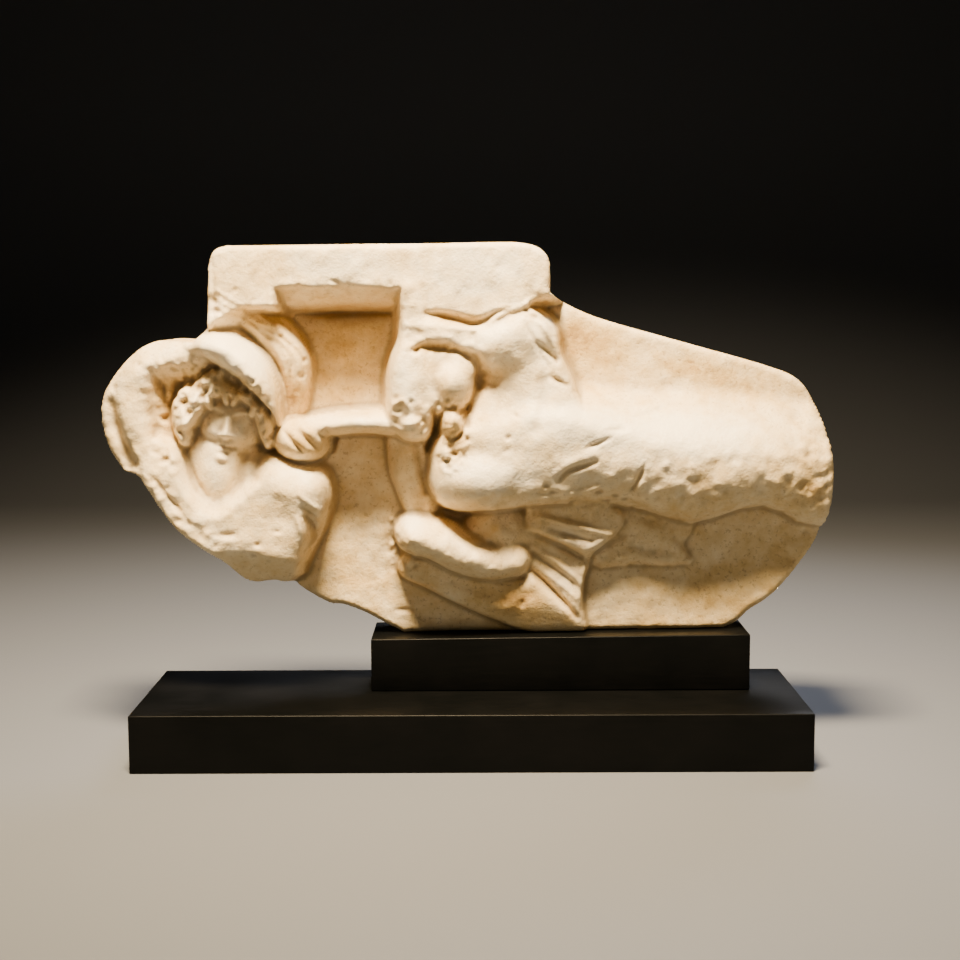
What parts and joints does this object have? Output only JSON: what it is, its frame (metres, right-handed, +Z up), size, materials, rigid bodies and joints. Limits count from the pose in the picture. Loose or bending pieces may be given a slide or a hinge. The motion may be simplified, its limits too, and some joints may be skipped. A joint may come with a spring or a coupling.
{
  "type": "marble relief fragment on a display base",
  "caption": "Broken marble relief of a youth and a sea horse under a plain border, standing on a black lacquered two-tier base.",
  "frame": {"origin": "on the floor under the middle of the whole object's box", "axes": "+X to the viewer's right along the relief, +Y from the carved face to the back, +Z up"},
  "size_m": [0.664, 0.175, 0.4627],
  "materials": {
    "marble": "worn, softly polished on the high places, ochre patina in the hollows",
    "upper_lacquer": "satin black lacquer",
    "plinth_lacquer": "satin black lacquer"
  },
  "bodies": {
    "root": {"marble_relief": "marble", "upper_block": "upper_lacquer", "base_plinth": "plinth_lacquer"}
  },
  "joints": []
}
